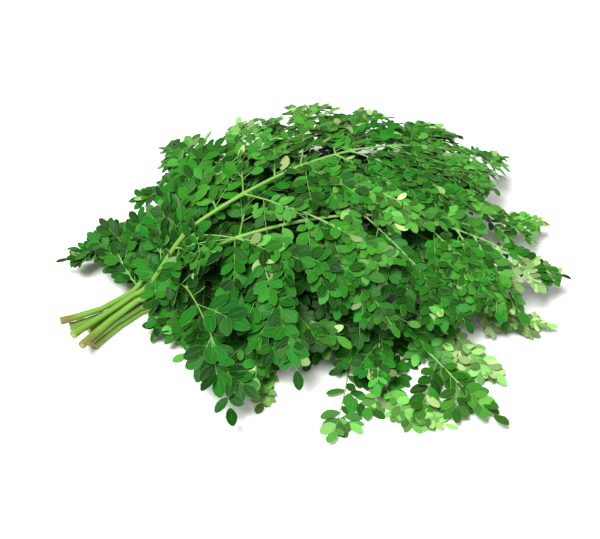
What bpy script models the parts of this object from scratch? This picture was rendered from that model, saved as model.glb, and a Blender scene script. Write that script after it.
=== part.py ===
# Moringa leaf bunch: nine cut leaves (fronds) of the drumstick tree, laid down together as a loose heap.
# Each frond grew as one piece, so each is one closed solid: a tapering rachis, its side branches (pinnae)
# in opposite pairs, and on each pinna its leaflets in opposite pairs with one at the tip.
# Metres, +Z up. The origin is on the surface under the middle of the bunch; the cut ends point to -X.
# Every frond drapes over the ones below it: it follows a dome of its own, a layer. Layers never meet.

import math
import random

import bmesh
import bpy
from mathutils import Vector
from mathutils.geometry import interpolate_bezier

# ---- the heap -------------------------------------------------------------------------------------------
CROWN = Vector((0.010, 0.032))      # where the heap is highest, in plan
RIM = Vector((0.285, 0.275))        # half-length and half-depth where the heap has thinned to its rim
DOME_POWER = 1.25                   # above 1 the rim runs out level, as leaves do on a table
CROWN_STEP = 0.0116                 # from one layer to the next at the crown, beyond the step at the rim
RIM_STEP = 0.0028                   # from one layer to the next at the rim
TILT_SHARE, ROLL_SHARE = 0.30, 0.55 # of the step to the next layer: what a leaflet's tilt and roll may use

# ---- one stem -------------------------------------------------------------------------------------------
STEM_SIDES = 6                      # one side faces down, so that a stem lies flat
WAIST_RADIUS = 0.0032
TIP_RADIUS = 0.0009
CUT_FLARE = 0.0011                  # how much the swollen cut end adds to the radius
FLARE_LENGTH = 0.012
AXIS_ABOVE_LAYER = 0.6              # of its radius: a stem lies on top of its own leaves
FACET = math.cos(math.pi / STEM_SIDES)   # a side's distance from the axis, as a share of the radius
BACK_SHARES = (1.0, 0.86, 0.45)     # rings behind the waist, as shares of the length there
BEHIND_WAIST = len(BACK_SHARES)

# ---- the bundle of stems --------------------------------------------------------------------------------
WAIST = Vector((-0.178, -0.066))    # where the stems lie closest together, in plan
BUNDLE_BEARING = math.radians(44)   # the stems' direction there, from the cut ends towards the leaves
TOUCH_GAP = 0.0003                  # between stems that lie against each other
COLUMN_PITCH = 2 * WAIST_RADIUS + TOUCH_GAP       # three stems side by side ...
ROW_RISE = 2 * WAIST_RADIUS * FACET + TOUCH_GAP   # ... and three rows of them on each other
ROW_SHIFT = 0.0010                  # each row lies this much to the left of the one below
CLIMB_LENGTH = 0.062                # a stem has climbed to its own layer this far past the waist
START_PULL, END_PULL = 0.24, 0.36   # how far its end bearings carry into its curve, of the way to its tip

# ---- one pinna ------------------------------------------------------------------------------------------
STEP = 0.006                        # distance between the points of a branch's path
SETTLE = 0.045                      # a pinna has sunk from its stem to its layer this far out
RIB_HALF_WIDTH = 0.0008             # in the middle of a pinna; the rib tapers
RIB_TAPER = 0.30                    # share of that width that it gains at its foot and loses at its tip
RIB_TOP = 0.0010                    # height of the rib's upper side over the middle of the blade
BLADE_HALF = 0.00036                # half of a leaflet's thickness; the rib's underside is level with it
ROOT_HALF = 0.0009                  # half of the width of a leaflet's root along the rib
PAIR_CROWDING = 0.94                # below 1, the pairs of pinnae crowd a little towards the frond's tip
SHORTER_UP = 0.56                   # share of its length that a pinna at the frond's tip would have lost
TIP_PINNA = 0.52                    # length of the pinna that ends the frond, of the first pair's
TIP_SWEEP = 0.15                    # radians by which that pinna may curve either way
HIGH_SPREAD = math.radians(46)      # last pair's pinnae to the rachis
SHINGLE = math.radians(9)           # each pinna rolls this much, so that it lies over the next one
LENGTH_DRAW = (0.9, 1.08)           # each pinna's own share of its planned length,
SPREAD_DRAW = 0.10                  # its own share of spread, in radians either way,
CURL_DRAW = 10                      # and its own curl, in degrees either way

# ---- one leaflet ----------------------------------------------------------------------------------------
LEAFLET_SPREAD = math.radians(60)   # leaflet to rib
MOST_TILT = math.radians(24)
TABLE_TILT = math.radians(2.5)      # least rise of a leaflet on the table, whose drooping tip then clears it
LEAFLETS_FROM, LEAFLETS_TO = 0.29, 0.84   # shares of a pinna's length between which its leaflets sit
MOST_LEAFLET = 0.034                # length of the longest leaflet
LEAFLET_TO_SPACING = 1.15           # most length of a leaflet, as a share of the distance to the next
HALF_WIDTH = 0.47                   # of a leaflet, as a share of its length
SMALLER_OUTWARD = 0.35              # how much of its length a pinna's outermost leaflet pair has lost,
WIDTH_LOSS = 0.6                    # and the share of that loss that its width follows
TIP_LEAFLET = 0.85                  # size of the leaflet that ends the pinna

# A leaflet's outline, beyond its root: shares of its length and of its half-width, then its arch.
OUTLINE = ((0.50, 1.0, 0.05), (1.0, 0.45, -0.03))

LEAF_GREEN = (0.075, 0.31, 0.045)   # of the topmost frond
SHADED = 0.7                        # how light the lowest one is beside it

# ---- the fronds, from the lowest layer up ---------------------------------------------------------------
# column and row: place in the bundle at the waist, columns from -1 at the right. cut: length behind the
# waist, place across the bundle and height of the cut end's axis. tip and arrive: where the rachis ends in
# plan, and its bearing there in degrees. leave: its bearing as it leaves the waist.
# first: distance from the waist to the first pair of pinnae. pinna: length of a pinna in the first pair.
# spread: angle of the first pair's right and left pinna to the rachis. curl: degrees by which the right and
# the left pinnae curve towards the frond's tip.
# pairs: leaflet pairs on the pinnae of each pair, and last on the pinna at the frond's tip.
FRONDS = (
    dict(name="frond_1", column=-1, row=0, cut=(0.062, -0.014, 0.0042), tip=(0.066, -0.160),
         arrive=-70, leave=29, first=0.080, pinna=0.115, spread=(73, 65), curl=(-36, 20),
         pairs=(3, 3, 3, 2, 2)),
    dict(name="frond_2", column=1, row=0, cut=(0.056, 0.024, 0.0050), tip=(-0.030, 0.148),
         arrive=76, leave=44, first=0.045, pinna=0.108, spread=(69, 88), curl=(10, -40),
         pairs=(3, 3, 2, 2, 2)),
    dict(name="frond_3", column=0, row=0, cut=(0.039, 0.000, 0.0045), tip=(0.162, -0.068),
         arrive=-24, leave=30, first=0.070, pinna=0.130, spread=(59, 65), curl=(10, 15),
         pairs=(3, 3, 2, 2, 2)),
    dict(name="frond_4", column=-1, row=1, cut=(0.067, -0.014, 0.0120), tip=(0.112, -0.144),
         arrive=-52, leave=24, first=0.050, pinna=0.120, spread=(80, 68), curl=(-10, 20),
         pairs=(3, 3, 3, 2, 2)),
    dict(name="frond_5", column=1, row=1, cut=(0.067, 0.018, 0.0115), tip=(0.070, 0.168),
         arrive=48, leave=38, first=0.060, pinna=0.140, spread=(62, 62), curl=(15, 10),
         pairs=(3, 3, 2, 2, 2)),
    dict(name="frond_6", column=0, row=1, cut=(0.057, 0.000, 0.0126), tip=(0.170, 0.038),
         arrive=8, leave=30, first=0.060, pinna=0.150, spread=(59, 65), curl=(10, 10),
         pairs=(3, 3, 2, 2, 2, 2)),
    dict(name="frond_7", column=1, row=2, cut=(0.074, 0.021, 0.0220), tip=(-0.094, 0.140),
         arrive=84, leave=44, first=0.052, pinna=0.104, spread=(62, 92), curl=(10, -45),
         pairs=(3, 3, 2, 2)),
    dict(name="frond_8", column=-1, row=2, cut=(0.077, -0.020, 0.0208), tip=(0.172, -0.028),
         arrive=-10, leave=4, first=0.038, pinna=0.155, spread=(68, 79), curl=(-22, 20),
         pairs=(4, 3, 2, 2, 2, 2)),
    dict(name="frond_9", column=0, row=2, cut=(0.078, -0.009, 0.0275), tip=(0.145, 0.108),
         arrive=23, leave=20, first=0.060, pinna=0.175, spread=(54, 66), curl=(0, -5),
         pairs=(4, 3, 3, 3, 2, 2)),
)


def ease(t):
    """0 below 0, 1 above 1, and level at both ends."""
    t = min(max(t, 0.0), 1.0)
    return t * t * (3 - 2 * t)


def fullness(x, y):
    """How full the heap is over a point of the table: 1 at the crown, 0 at the rim and beyond."""
    out = ((x - CROWN.x) / RIM.x) ** 2 + ((y - CROWN.y) / RIM.y) ** 2
    return max(0.0, 1.0 - out) ** DOME_POWER


def layer_step(x, y):
    return RIM_STEP + CROWN_STEP * fullness(x, y)


def layer_height(layer, x, y):
    return BLADE_HALF + layer * layer_step(x, y)


def layer_normal(layer, x, y):
    """The upward normal of a layer."""
    d = 0.002
    east = layer_height(layer, x + d, y) - layer_height(layer, x - d, y)
    north = layer_height(layer, x, y + d) - layer_height(layer, x, y - d)
    return Vector((-east, -north, 2 * d)).normalized()


def bearing_vector(angle):
    return Vector((math.cos(angle), math.sin(angle), 0))


def drape(layer, start, bearing, sweep, length):
    """Points along a branch that leaves start, turns by sweep over its length, and sinks onto its layer."""
    count = max(2, round(length / STEP))
    stride = length / count
    over = start.z - layer_height(layer, start.x, start.y)
    points = [start.copy()]
    for i in range(count):
        way = bearing_vector(bearing + sweep * (i + 0.5) / count)
        here = points[-1]
        ahead = here + way * stride
        rise = (layer_height(layer, ahead.x, ahead.y) - layer_height(layer, here.x, here.y)) / stride
        plan = here + way * (stride / math.hypot(1, rise))
        left = over * (1 - ease((i + 1) * stride / SETTLE))
        points.append(Vector((plan.x, plan.y, layer_height(layer, plan.x, plan.y) + left)))
    return points


def along(points, distance):
    """The point and the direction at a distance along a path."""
    for a, b in zip(points, points[1:]):
        span = (b - a).length
        if distance <= span or b is points[-1]:
            return a + (b - a) * (distance / span), (b - a).normalized()
        distance -= span


# ---- stems ----------------------------------------------------------------------------------------------

def stem_radius(frond, s, reach):
    """The radius at a distance s past the waist; s is negative towards the cut end."""
    back = frond["cut"][0]
    taper = WAIST_RADIUS + (TIP_RADIUS - WAIST_RADIUS) * max(s, 0) / reach
    return taper + CUT_FLARE * math.exp(-(s + back) / FLARE_LENGTH)


def stem_path(layer, frond):
    """[(distance past the waist, point on the axis, bearing)] from the cut end to the tip of the rachis."""
    back, cut_side, cut_height = frond["cut"]
    ahead = bearing_vector(BUNDLE_BEARING)
    left = Vector((-ahead.y, ahead.x, 0))
    height = WAIST_RADIUS * FACET + ROW_RISE * frond["row"]
    waist_side = COLUMN_PITCH * frond["column"] + ROW_SHIFT * frond["row"]
    waist = WAIST.to_3d() + left * waist_side
    path = []
    for share in BACK_SHARES:
        point = waist - ahead * (back * share) + left * ((cut_side - waist_side) * share ** 2)
        point.z = height + (cut_height - height) * share
        path.append((-back * share, point, BUNDLE_BEARING))
    tip = Vector((*frond["tip"], 0))
    way = (tip - waist).length
    arrival = bearing_vector(math.radians(frond["arrive"]))
    leaving = bearing_vector(math.radians(frond["leave"]))
    curve = interpolate_bezier(waist, waist + leaving * (START_PULL * way),
                               tip - arrival * (END_PULL * way), tip, 100)
    reach = sum((b - a).length for a, b in zip(curve, curve[1:]))
    count = round(reach / STEP)
    for i in range(count + 1):
        s = reach * i / count
        point, forward = along(curve, min(s, reach - 1e-6))
        goal = layer_height(layer, point.x, point.y) + AXIS_ABOVE_LAYER * stem_radius(frond, s, reach)
        point.z = height + (goal - height) * ease(s / CLIMB_LENGTH)
        path.append((s, point, math.atan2(forward.y, forward.x)))
    return [(s, rest_on_table(p, stem_radius(frond, s, reach)), b) for s, p, b in path]


def rest_on_table(point, radius):
    """Lifts a stem's axis until its lowest side lies on the table."""
    point.z = max(point.z, radius * FACET)
    return point


def pair_places(frond, path):
    """Where on the path each pair of pinnae grows, lowest pair first: indices into the path."""
    pairs = len(frond["pairs"]) - 1
    room = path[-1][0] - frond["first"]
    places = [frond["first"] + room * (i / pairs) ** PAIR_CROWDING for i in range(pairs)]
    return [min(range(len(path)), key=lambda n: abs(path[n][0] - s)) for s in places]


def stem_mesh(frond, path):
    """A six-sided tube, one side facing down, with a ring at each pair of pinnae and where it bends."""
    ends = sorted({*range(BEHIND_WAIST + 1), *range(BEHIND_WAIST, BEHIND_WAIST + 10, 3),
                   *pair_places(frond, path), len(path) - 1})
    mesh = bmesh.new()
    rings = []
    for i in ends:
        s, point, _ = path[i]
        before, after = path[max(i - 1, 0)][1], path[min(i + 1, len(path) - 1)][1]
        forward = (after - before).normalized()
        side = forward.cross(Vector((0, 0, 1))).normalized()
        up = Vector((0, 0, 1))
        radius = stem_radius(frond, s, path[-1][0])
        turns = [math.tau * (n + 0.5) / STEM_SIDES - math.pi / 2 for n in range(STEM_SIDES)]
        rings.append([mesh.verts.new(point + side * (radius * math.cos(a)) + up * (radius * math.sin(a)))
                      for a in turns])
    for a, b in zip(rings, rings[1:]):
        for n in range(STEM_SIDES):
            m = (n + 1) % STEM_SIDES
            mesh.faces.new((a[n], a[m], b[m], b[n]))
    mesh.faces.new(rings[0])
    mesh.faces.new(rings[-1])
    return closed_object(frond["name"], mesh)


# ---- pinnae and leaflets --------------------------------------------------------------------------------

def pinna_plan(layer, frond, path):
    """[(start, bearing, sweep, length, leaflet pairs, upper side)] of a frond's pinnae, first pair first."""
    draw = random.Random(frond["name"] + " pinnae")
    rolled = 1 if layer else 0            # the lowest frond lies flat on the table
    counts = frond["pairs"][:-1]
    plan = []
    for i, (count, place) in enumerate(zip(counts, pair_places(frond, path))):
        up = i / len(counts)
        _, start, bearing = path[place]
        for side in (-1, 1):
            low_spread = math.radians(frond["spread"][side > 0])
            spread = low_spread + (HIGH_SPREAD - low_spread) * up
            length = frond["pinna"] * (1 - SHORTER_UP * up) * draw.uniform(*LENGTH_DRAW)
            away = bearing + side * (spread + draw.uniform(-SPREAD_DRAW, SPREAD_DRAW))
            curl = frond["curl"][side > 0] + draw.uniform(-CURL_DRAW, CURL_DRAW)
            sweep = -side * math.radians(curl) * (1 - up)
            plan.append((start, away, sweep, length, count, -side * rolled))
    _, end, bearing = path[-1]
    sweep = draw.uniform(-TIP_SWEEP, TIP_SWEEP)
    plan.append((end, bearing, sweep, frond["pinna"] * TIP_PINNA, frond["pairs"][-1], 0))
    return plan


def leaflet(mesh, roots, origin, axis, across, normal, length, half_width):
    """Grows one leaflet out of four root vertices: (top, bottom) on the near side, then on the far side."""
    near, far = [roots[0]], [roots[1]]
    for share, width, arch in OUTLINE:
        for row, hand in ((near, -1), (far, 1)):
            middle = origin + axis * (length * share) + across * (hand * half_width * width)
            middle += normal * (arch * length)
            middle.z = max(middle.z, BLADE_HALF)   # no blade dips into the table
            row.append([mesh.verts.new(middle + normal * (face * BLADE_HALF)) for face in (1, -1)])
    for i in range(len(OUTLINE)):
        (a, b), (c, d) = (near[i], far[i]), (near[i + 1], far[i + 1])
        for top in (0, 1):
            mesh.faces.new((a[top], b[top], d[top]))
            mesh.faces.new((a[top], d[top], c[top]))
        mesh.faces.new((a[0], a[1], c[1], c[0]))
        mesh.faces.new((b[0], b[1], d[1], d[0]))
    mesh.faces.new((near[-1][0], near[-1][1], far[-1][1], far[-1][0]))


def pinna_mesh(name, layer, start, bearing, sweep, length, pairs, upper, draw):
    """One thin blade: a rib whose sides carry leaflets, all of it one closed surface."""
    points = drape(layer, start, bearing, sweep, length)
    total = sum((b - a).length for a, b in zip(points, points[1:]))
    spacing = total * (LEAFLETS_TO - LEAFLETS_FROM) / (pairs - 1)
    nodes = [total * LEAFLETS_FROM + spacing * i for i in range(pairs)]
    leaf_length = min(MOST_LEAFLET, LEAFLET_TO_SPACING * spacing)
    half_width = HALF_WIDTH * leaf_length
    stations = [0.0]
    for node in nodes:
        stations += [node - ROOT_HALF, node + ROOT_HALF]
    stations.append(total)

    mesh = bmesh.new()
    rings = []
    frames = []
    for distance in stations:
        point, forward = along(points, distance)
        normal = layer_normal(layer, point.x, point.y)
        side = normal.cross(forward).normalized()
        normal = forward.cross(side)
        roll = upper * lean(layer, point, leaf_length, SHINGLE, ROLL_SHARE)
        turned = side * math.cos(roll) + normal * math.sin(roll)
        normal = normal * math.cos(roll) - side * math.sin(roll)
        thin = RIB_HALF_WIDTH * (1 + RIB_TAPER * (1 - 2 * distance / total))
        ring = {}
        for hand in (-1, 1):
            edge = point + turned * (hand * thin)
            ring[hand] = (mesh.verts.new(edge + normal * RIB_TOP), mesh.verts.new(edge - normal * BLADE_HALF))
        rings.append(ring)
        frames.append((point, forward, turned, normal))
    leafy = set(range(1, 1 + 2 * pairs, 2))
    for i, (a, b) in enumerate(zip(rings, rings[1:])):
        for level in (0, 1):
            mesh.faces.new((a[-1][level], b[-1][level], b[1][level]))
            mesh.faces.new((a[-1][level], b[1][level], a[1][level]))
        for hand in (-1, 1):
            if i not in leafy:
                mesh.faces.new((a[hand][0], b[hand][0], b[hand][1], a[hand][1]))
                continue
            point, forward, side, normal = frames[i]
            size = 1 - SMALLER_OUTWARD * (i // 2) / pairs
            lift = tilt(layer, point, leaf_length, draw)
            out = forward * math.cos(LEAFLET_SPREAD) + side * (hand * math.sin(LEAFLET_SPREAD))
            axis = out * math.cos(lift) + normal * math.sin(lift)
            across = (forward - axis * forward.dot(axis)).normalized()
            upward = axis.cross(across) * hand
            if upward.dot(normal) < 0:
                upward = -upward
            root = (frames[i][0] + frames[i + 1][0]) / 2 + side * (hand * RIB_HALF_WIDTH)
            leaflet(mesh, (a[hand], b[hand]), root, axis, across, upward,
                    leaf_length * size, half_width * (1 - WIDTH_LOSS * (1 - size)))
    mesh.faces.new((rings[0][-1][0], rings[0][1][0], rings[0][1][1], rings[0][-1][1]))
    point, forward, side, normal = frames[-1]
    last = rings[-1]
    lift = tilt(layer, point, leaf_length, draw)
    leaflet(mesh, (last[-1], last[1]), point,
            forward * math.cos(lift) + normal * math.sin(lift), side,
            normal * math.cos(lift) - forward * math.sin(lift),
            leaf_length * TIP_LEAFLET, half_width * TIP_LEAFLET)
    return closed_object(name, mesh)


def lean(layer, point, length, most, share):
    """The steepest slope, up to most, at which a blade of this length keeps to its share of the height."""
    return min(most, math.asin(min(share * layer_step(point.x, point.y) / length, 1)))


def tilt(layer, point, length, draw):
    """A leaflet's own slope; the lowest layer's only rise, so that they clear the table."""
    most = lean(layer, point, length, MOST_TILT, TILT_SHARE)
    return draw.uniform(-most, most) if layer else draw.uniform(TABLE_TILT, max(most, TABLE_TILT))


# ---- assembly -------------------------------------------------------------------------------------------

def closed_object(name, mesh):
    """Links a closed mesh to the scene, with its faces pointing out."""
    bmesh.ops.recalc_face_normals(mesh, faces=mesh.faces)
    bmesh.ops.triangulate(mesh, faces=mesh.faces)
    data = bpy.data.meshes.new(name)
    mesh.to_mesh(data)
    mesh.free()
    made = bpy.data.objects.new(name, data)
    bpy.context.scene.collection.objects.link(made)
    return made


def leaf_material(name, colour):
    material = bpy.data.materials.new(name)
    material.use_nodes = True
    shader = material.node_tree.nodes["Principled BSDF"]
    shader.inputs["Base Color"].default_value = (*colour, 1)
    shader.inputs["Roughness"].default_value = 0.45
    return material


def grow(layer, frond, material):
    """One frond: its stem, with every pinna fused to it."""
    path = stem_path(layer, frond)
    stem = stem_mesh(frond, path)
    stem.data.materials.append(material)
    draw = random.Random(frond["name"] + " leaflets")
    pinnae = bpy.data.collections.new(frond["name"] + "_pinnae")
    for i, plan in enumerate(pinna_plan(layer, frond, path)):
        pinna = pinna_mesh(f"{frond['name']}_pinna_{i}", layer, *plan, draw)
        bpy.context.scene.collection.objects.unlink(pinna)
        pinnae.objects.link(pinna)
    join = stem.modifiers.new("pinnae", "BOOLEAN")
    join.operation = "UNION"
    join.operand_type = "COLLECTION"
    join.collection = pinnae
    join.solver = "EXACT"
    fused = bpy.data.meshes.new_from_object(stem.evaluated_get(bpy.context.evaluated_depsgraph_get()))
    stem.modifiers.clear()
    stem.data = fused
    for pinna in list(pinnae.objects):
        bpy.data.objects.remove(pinna)
    bpy.data.collections.remove(pinnae)
    return stem


def main():
    for old in list(bpy.data.objects):
        bpy.data.objects.remove(old)
    for layer, frond in enumerate(FRONDS):
        light = SHADED + (1 - SHADED) * layer / (len(FRONDS) - 1)
        grow(layer, frond, leaf_material(frond["name"] + "_green", [c * light for c in LEAF_GREEN]))


main()
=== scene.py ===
# Moringa leaf bunch: the looks of nine cut fronds of the drumstick tree, laid down in a loose heap.
# A frond is two or three pieces that stand for its solid: its stem with all its ribs, its leaflets and, on
# some fronds, the leaflets of small extra sprays. They grow on the same skeleton as the solid, worked out
# here again from the same numbers.
# Metres and +Z up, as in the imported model. Angles are listed in degrees, or in radians where a note says so.

import math
import random

import bpy
import numpy as np
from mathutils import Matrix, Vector
from mathutils.geometry import interpolate_bezier


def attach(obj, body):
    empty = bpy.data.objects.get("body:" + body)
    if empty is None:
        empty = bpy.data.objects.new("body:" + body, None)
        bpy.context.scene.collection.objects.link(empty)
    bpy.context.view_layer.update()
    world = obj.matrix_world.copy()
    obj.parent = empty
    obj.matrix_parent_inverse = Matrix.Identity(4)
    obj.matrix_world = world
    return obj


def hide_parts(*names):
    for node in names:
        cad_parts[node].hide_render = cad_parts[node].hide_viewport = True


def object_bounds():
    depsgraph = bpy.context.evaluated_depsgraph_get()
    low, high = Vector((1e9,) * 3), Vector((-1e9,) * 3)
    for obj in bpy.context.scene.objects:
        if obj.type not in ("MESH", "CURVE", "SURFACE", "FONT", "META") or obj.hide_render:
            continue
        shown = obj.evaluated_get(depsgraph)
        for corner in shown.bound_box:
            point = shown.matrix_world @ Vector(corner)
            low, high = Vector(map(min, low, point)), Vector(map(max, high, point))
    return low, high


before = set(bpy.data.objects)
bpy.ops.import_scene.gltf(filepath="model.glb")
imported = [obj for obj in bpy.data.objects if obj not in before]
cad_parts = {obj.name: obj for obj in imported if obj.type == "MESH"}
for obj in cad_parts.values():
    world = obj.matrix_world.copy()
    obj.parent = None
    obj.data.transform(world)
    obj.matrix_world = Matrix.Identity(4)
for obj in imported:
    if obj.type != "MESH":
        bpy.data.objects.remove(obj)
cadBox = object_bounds()
print("frame loaded:", len(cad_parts), "solids")


# camera, floor and light

camera = dict(
    target=(-0.010, -0.002, 0.0),
    elevation=42,
    distance=1.0,
    lens=55.5,                     # mm, on a sensor 36 mm wide
)
studio = dict(
    floorSize=2.2, floorColour="#f7f7f5", floorRoughness=0.9, floorSpecular=0.1,
    skyColour="#ffffff", skyHorizon=1.0, skyOverhead=0.17,
    skyFade=(0.04, 0.20),          # it dims between these heights, given as the sine of the elevation
    keyPlace=(-0.8, -0.95, 2.8), keySize=1.5, keyPower=164,
    fillPlace=(1.6, -0.9, 1.5), fillSize=1.8, fillPower=18,
    lampAim=(0, 0, 0.05),
)


def linearColour(hexColour):
    # sRGB hex to the linear values that the shader takes
    parts = [int(hexColour[i:i + 2], 16) / 255 for i in (1, 3, 5)]
    return (*(c / 12.92 if c <= 0.04045 else ((c + 0.055) / 1.055) ** 2.4 for c in parts), 1.0)


def addNode(tree, kind, settings, links=()):
    # settings name a property or an input, From and To the two ends of a range, and stops a ramp's colours;
    # links are (input, output socket)
    node = tree.nodes.new(kind)
    for name, value in settings.items():
        if name == "stops":
            elements = node.color_ramp.elements
            while len(elements) < len(value):
                elements.new(0.5)
            for element, (position, colour) in zip(elements, value):
                element.position = position
                element.color = linearColour(colour)
        elif name in ("From", "To"):
            node.inputs[name + " Min"].default_value, node.inputs[name + " Max"].default_value = value
        elif isinstance(name, int) or name in node.inputs:
            node.inputs[name].default_value = value
        else:
            setattr(node, name, value)
    for name, output in links:
        tree.links.new(output, node.inputs[name])
    return node


def newMaterial(name):
    material = bpy.data.materials.new(name)
    material.use_nodes = True
    return material, material.node_tree, material.node_tree.nodes["Principled BSDF"]


def placeCamera():
    rise = math.radians(camera["elevation"])
    view = bpy.data.objects.new("camera", bpy.data.cameras.new("camera"))
    view.data.lens = camera["lens"]
    away = Vector((0, -math.cos(rise), math.sin(rise))) * camera["distance"]
    view.location = Vector(camera["target"]) + away
    view.rotation_euler = (-away).to_track_quat("-Z", "Y").to_euler()
    bpy.context.scene.collection.objects.link(view)
    bpy.context.scene.camera = view
    bpy.context.scene.view_settings.view_transform = "Standard"


def layFloor():
    half = studio["floorSize"] / 2
    sheet = bpy.data.meshes.new("floor")
    corners = [(-half, -half, 0), (half, -half, 0), (half, half, 0), (-half, half, 0)]
    sheet.from_pydata(corners, [], [(0, 1, 2, 3)])
    floor = bpy.data.objects.new("floor", sheet)
    bpy.context.scene.collection.objects.link(floor)
    # matt white paper: bright, without a reflection of the leaves
    paper, _, shader = newMaterial("mattPaper")
    shader.inputs["Base Color"].default_value = linearColour(studio["floorColour"])
    shader.inputs["Roughness"].default_value = studio["floorRoughness"]
    shader.inputs["Specular IOR Level"].default_value = studio["floorSpecular"]
    sheet.materials.append(paper)


def lightSky():
    # bright at the horizon and below it, dimmer overhead
    sky = bpy.data.worlds.new("sky")
    bpy.context.scene.world = sky
    sky.use_nodes = True
    background = sky.node_tree.nodes["Background"]
    background.inputs["Color"].default_value = linearColour(studio["skyColour"])
    direction = addNode(sky.node_tree, "ShaderNodeTexCoord", {})
    parts = addNode(sky.node_tree, "ShaderNodeSeparateXYZ", {}, [(0, direction.outputs["Generated"])])
    strength = addNode(sky.node_tree, "ShaderNodeMapRange",
                       {"From": studio["skyFade"], "To": (studio["skyHorizon"], studio["skyOverhead"])},
                       [("Value", parts.outputs[2])])
    sky.node_tree.links.new(strength.outputs[0], background.inputs["Strength"])


def softLight(name, place, size, power):
    light = bpy.data.lights.new(name, "AREA")
    light.size = size
    light.energy = power
    lamp = bpy.data.objects.new(name, light)
    lamp.location = place
    lamp.rotation_euler = (Vector(studio["lampAim"]) - Vector(place)).to_track_quat("-Z", "Y").to_euler()
    bpy.context.scene.collection.objects.link(lamp)


placeCamera()
layFloor()
lightSky()
softLight("key", studio["keyPlace"], studio["keySize"], studio["keyPower"])
softLight("fill", studio["fillPlace"], studio["fillSize"], studio["fillPower"])
print("studio built")


# the heap's layers

heap = dict(
    crown=(0.010, 0.032),          # where it is highest, in plan
    rim=(0.285, 0.275),            # half-length and half-depth
    domePower=1.25,
    crownStep=0.0116,              # from one layer to the next at the crown, beyond the step at the rim
    rimStep=0.0028,
    bladeHalf=0.00036,             # the lowest layer's height
    slopeStep=0.002,               # either way, to measure a slope
)


def ease(t):
    t = min(max(t, 0.0), 1.0)
    return t * t * (3 - 2 * t)


def fromCrown(x, y):
    # 0 at the crown, 1 at the heap's rim
    return ((x - heap["crown"][0]) / heap["rim"][0]) ** 2 + ((y - heap["crown"][1]) / heap["rim"][1]) ** 2


def layerStep(x, y):
    return heap["rimStep"] + heap["crownStep"] * max(0.0, 1.0 - fromCrown(x, y)) ** heap["domePower"]


def layerHeight(layer, x, y):
    return heap["bladeHalf"] + layer * layerStep(x, y)


def layerNormal(layer, x, y):
    d = heap["slopeStep"]
    east = layerHeight(layer, x + d, y) - layerHeight(layer, x - d, y)
    north = layerHeight(layer, x, y + d) - layerHeight(layer, x, y - d)
    return Vector((-east, -north, 2 * d)).normalized()


def bearingVector(angle):
    return Vector((math.cos(angle), math.sin(angle), 0))


# the fronds
# From the lowest layer up. column and row: place in the bundle. cut: length behind the waist, place across
# the bundle and height of the cut end. tip, arrive, leave: its tip in plan, its bearing there and past the
# waist. first: from the waist to the first pair of pinnae. pairs: of pinnae, besides the pinna at the tip.
# pinna: length of the longest. spread: from the stem to a pinna, on its right and left. curl: how it bends.
# leaflet: length of its largest leaflets. age: 0 for a flush of young leaves, 1 for old dark ones; younger:
# how much of that it loses towards the tip. cutTone: 0 green, 1 red-brown.
# extra: small sprays between the pinnae, by distance past the waist, side, length and, if its own, spread.
# own: what sets a pinna apart from the rest. reach and size are factors, sides are factors on its pinnules'
# length to its right and left, bend turns its end, age is added, bare is the share of its length without
# leaflets, taper how much smaller they get along it, pale lightens its end, and turned and yellow are shares
# of its leaflets.

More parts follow.
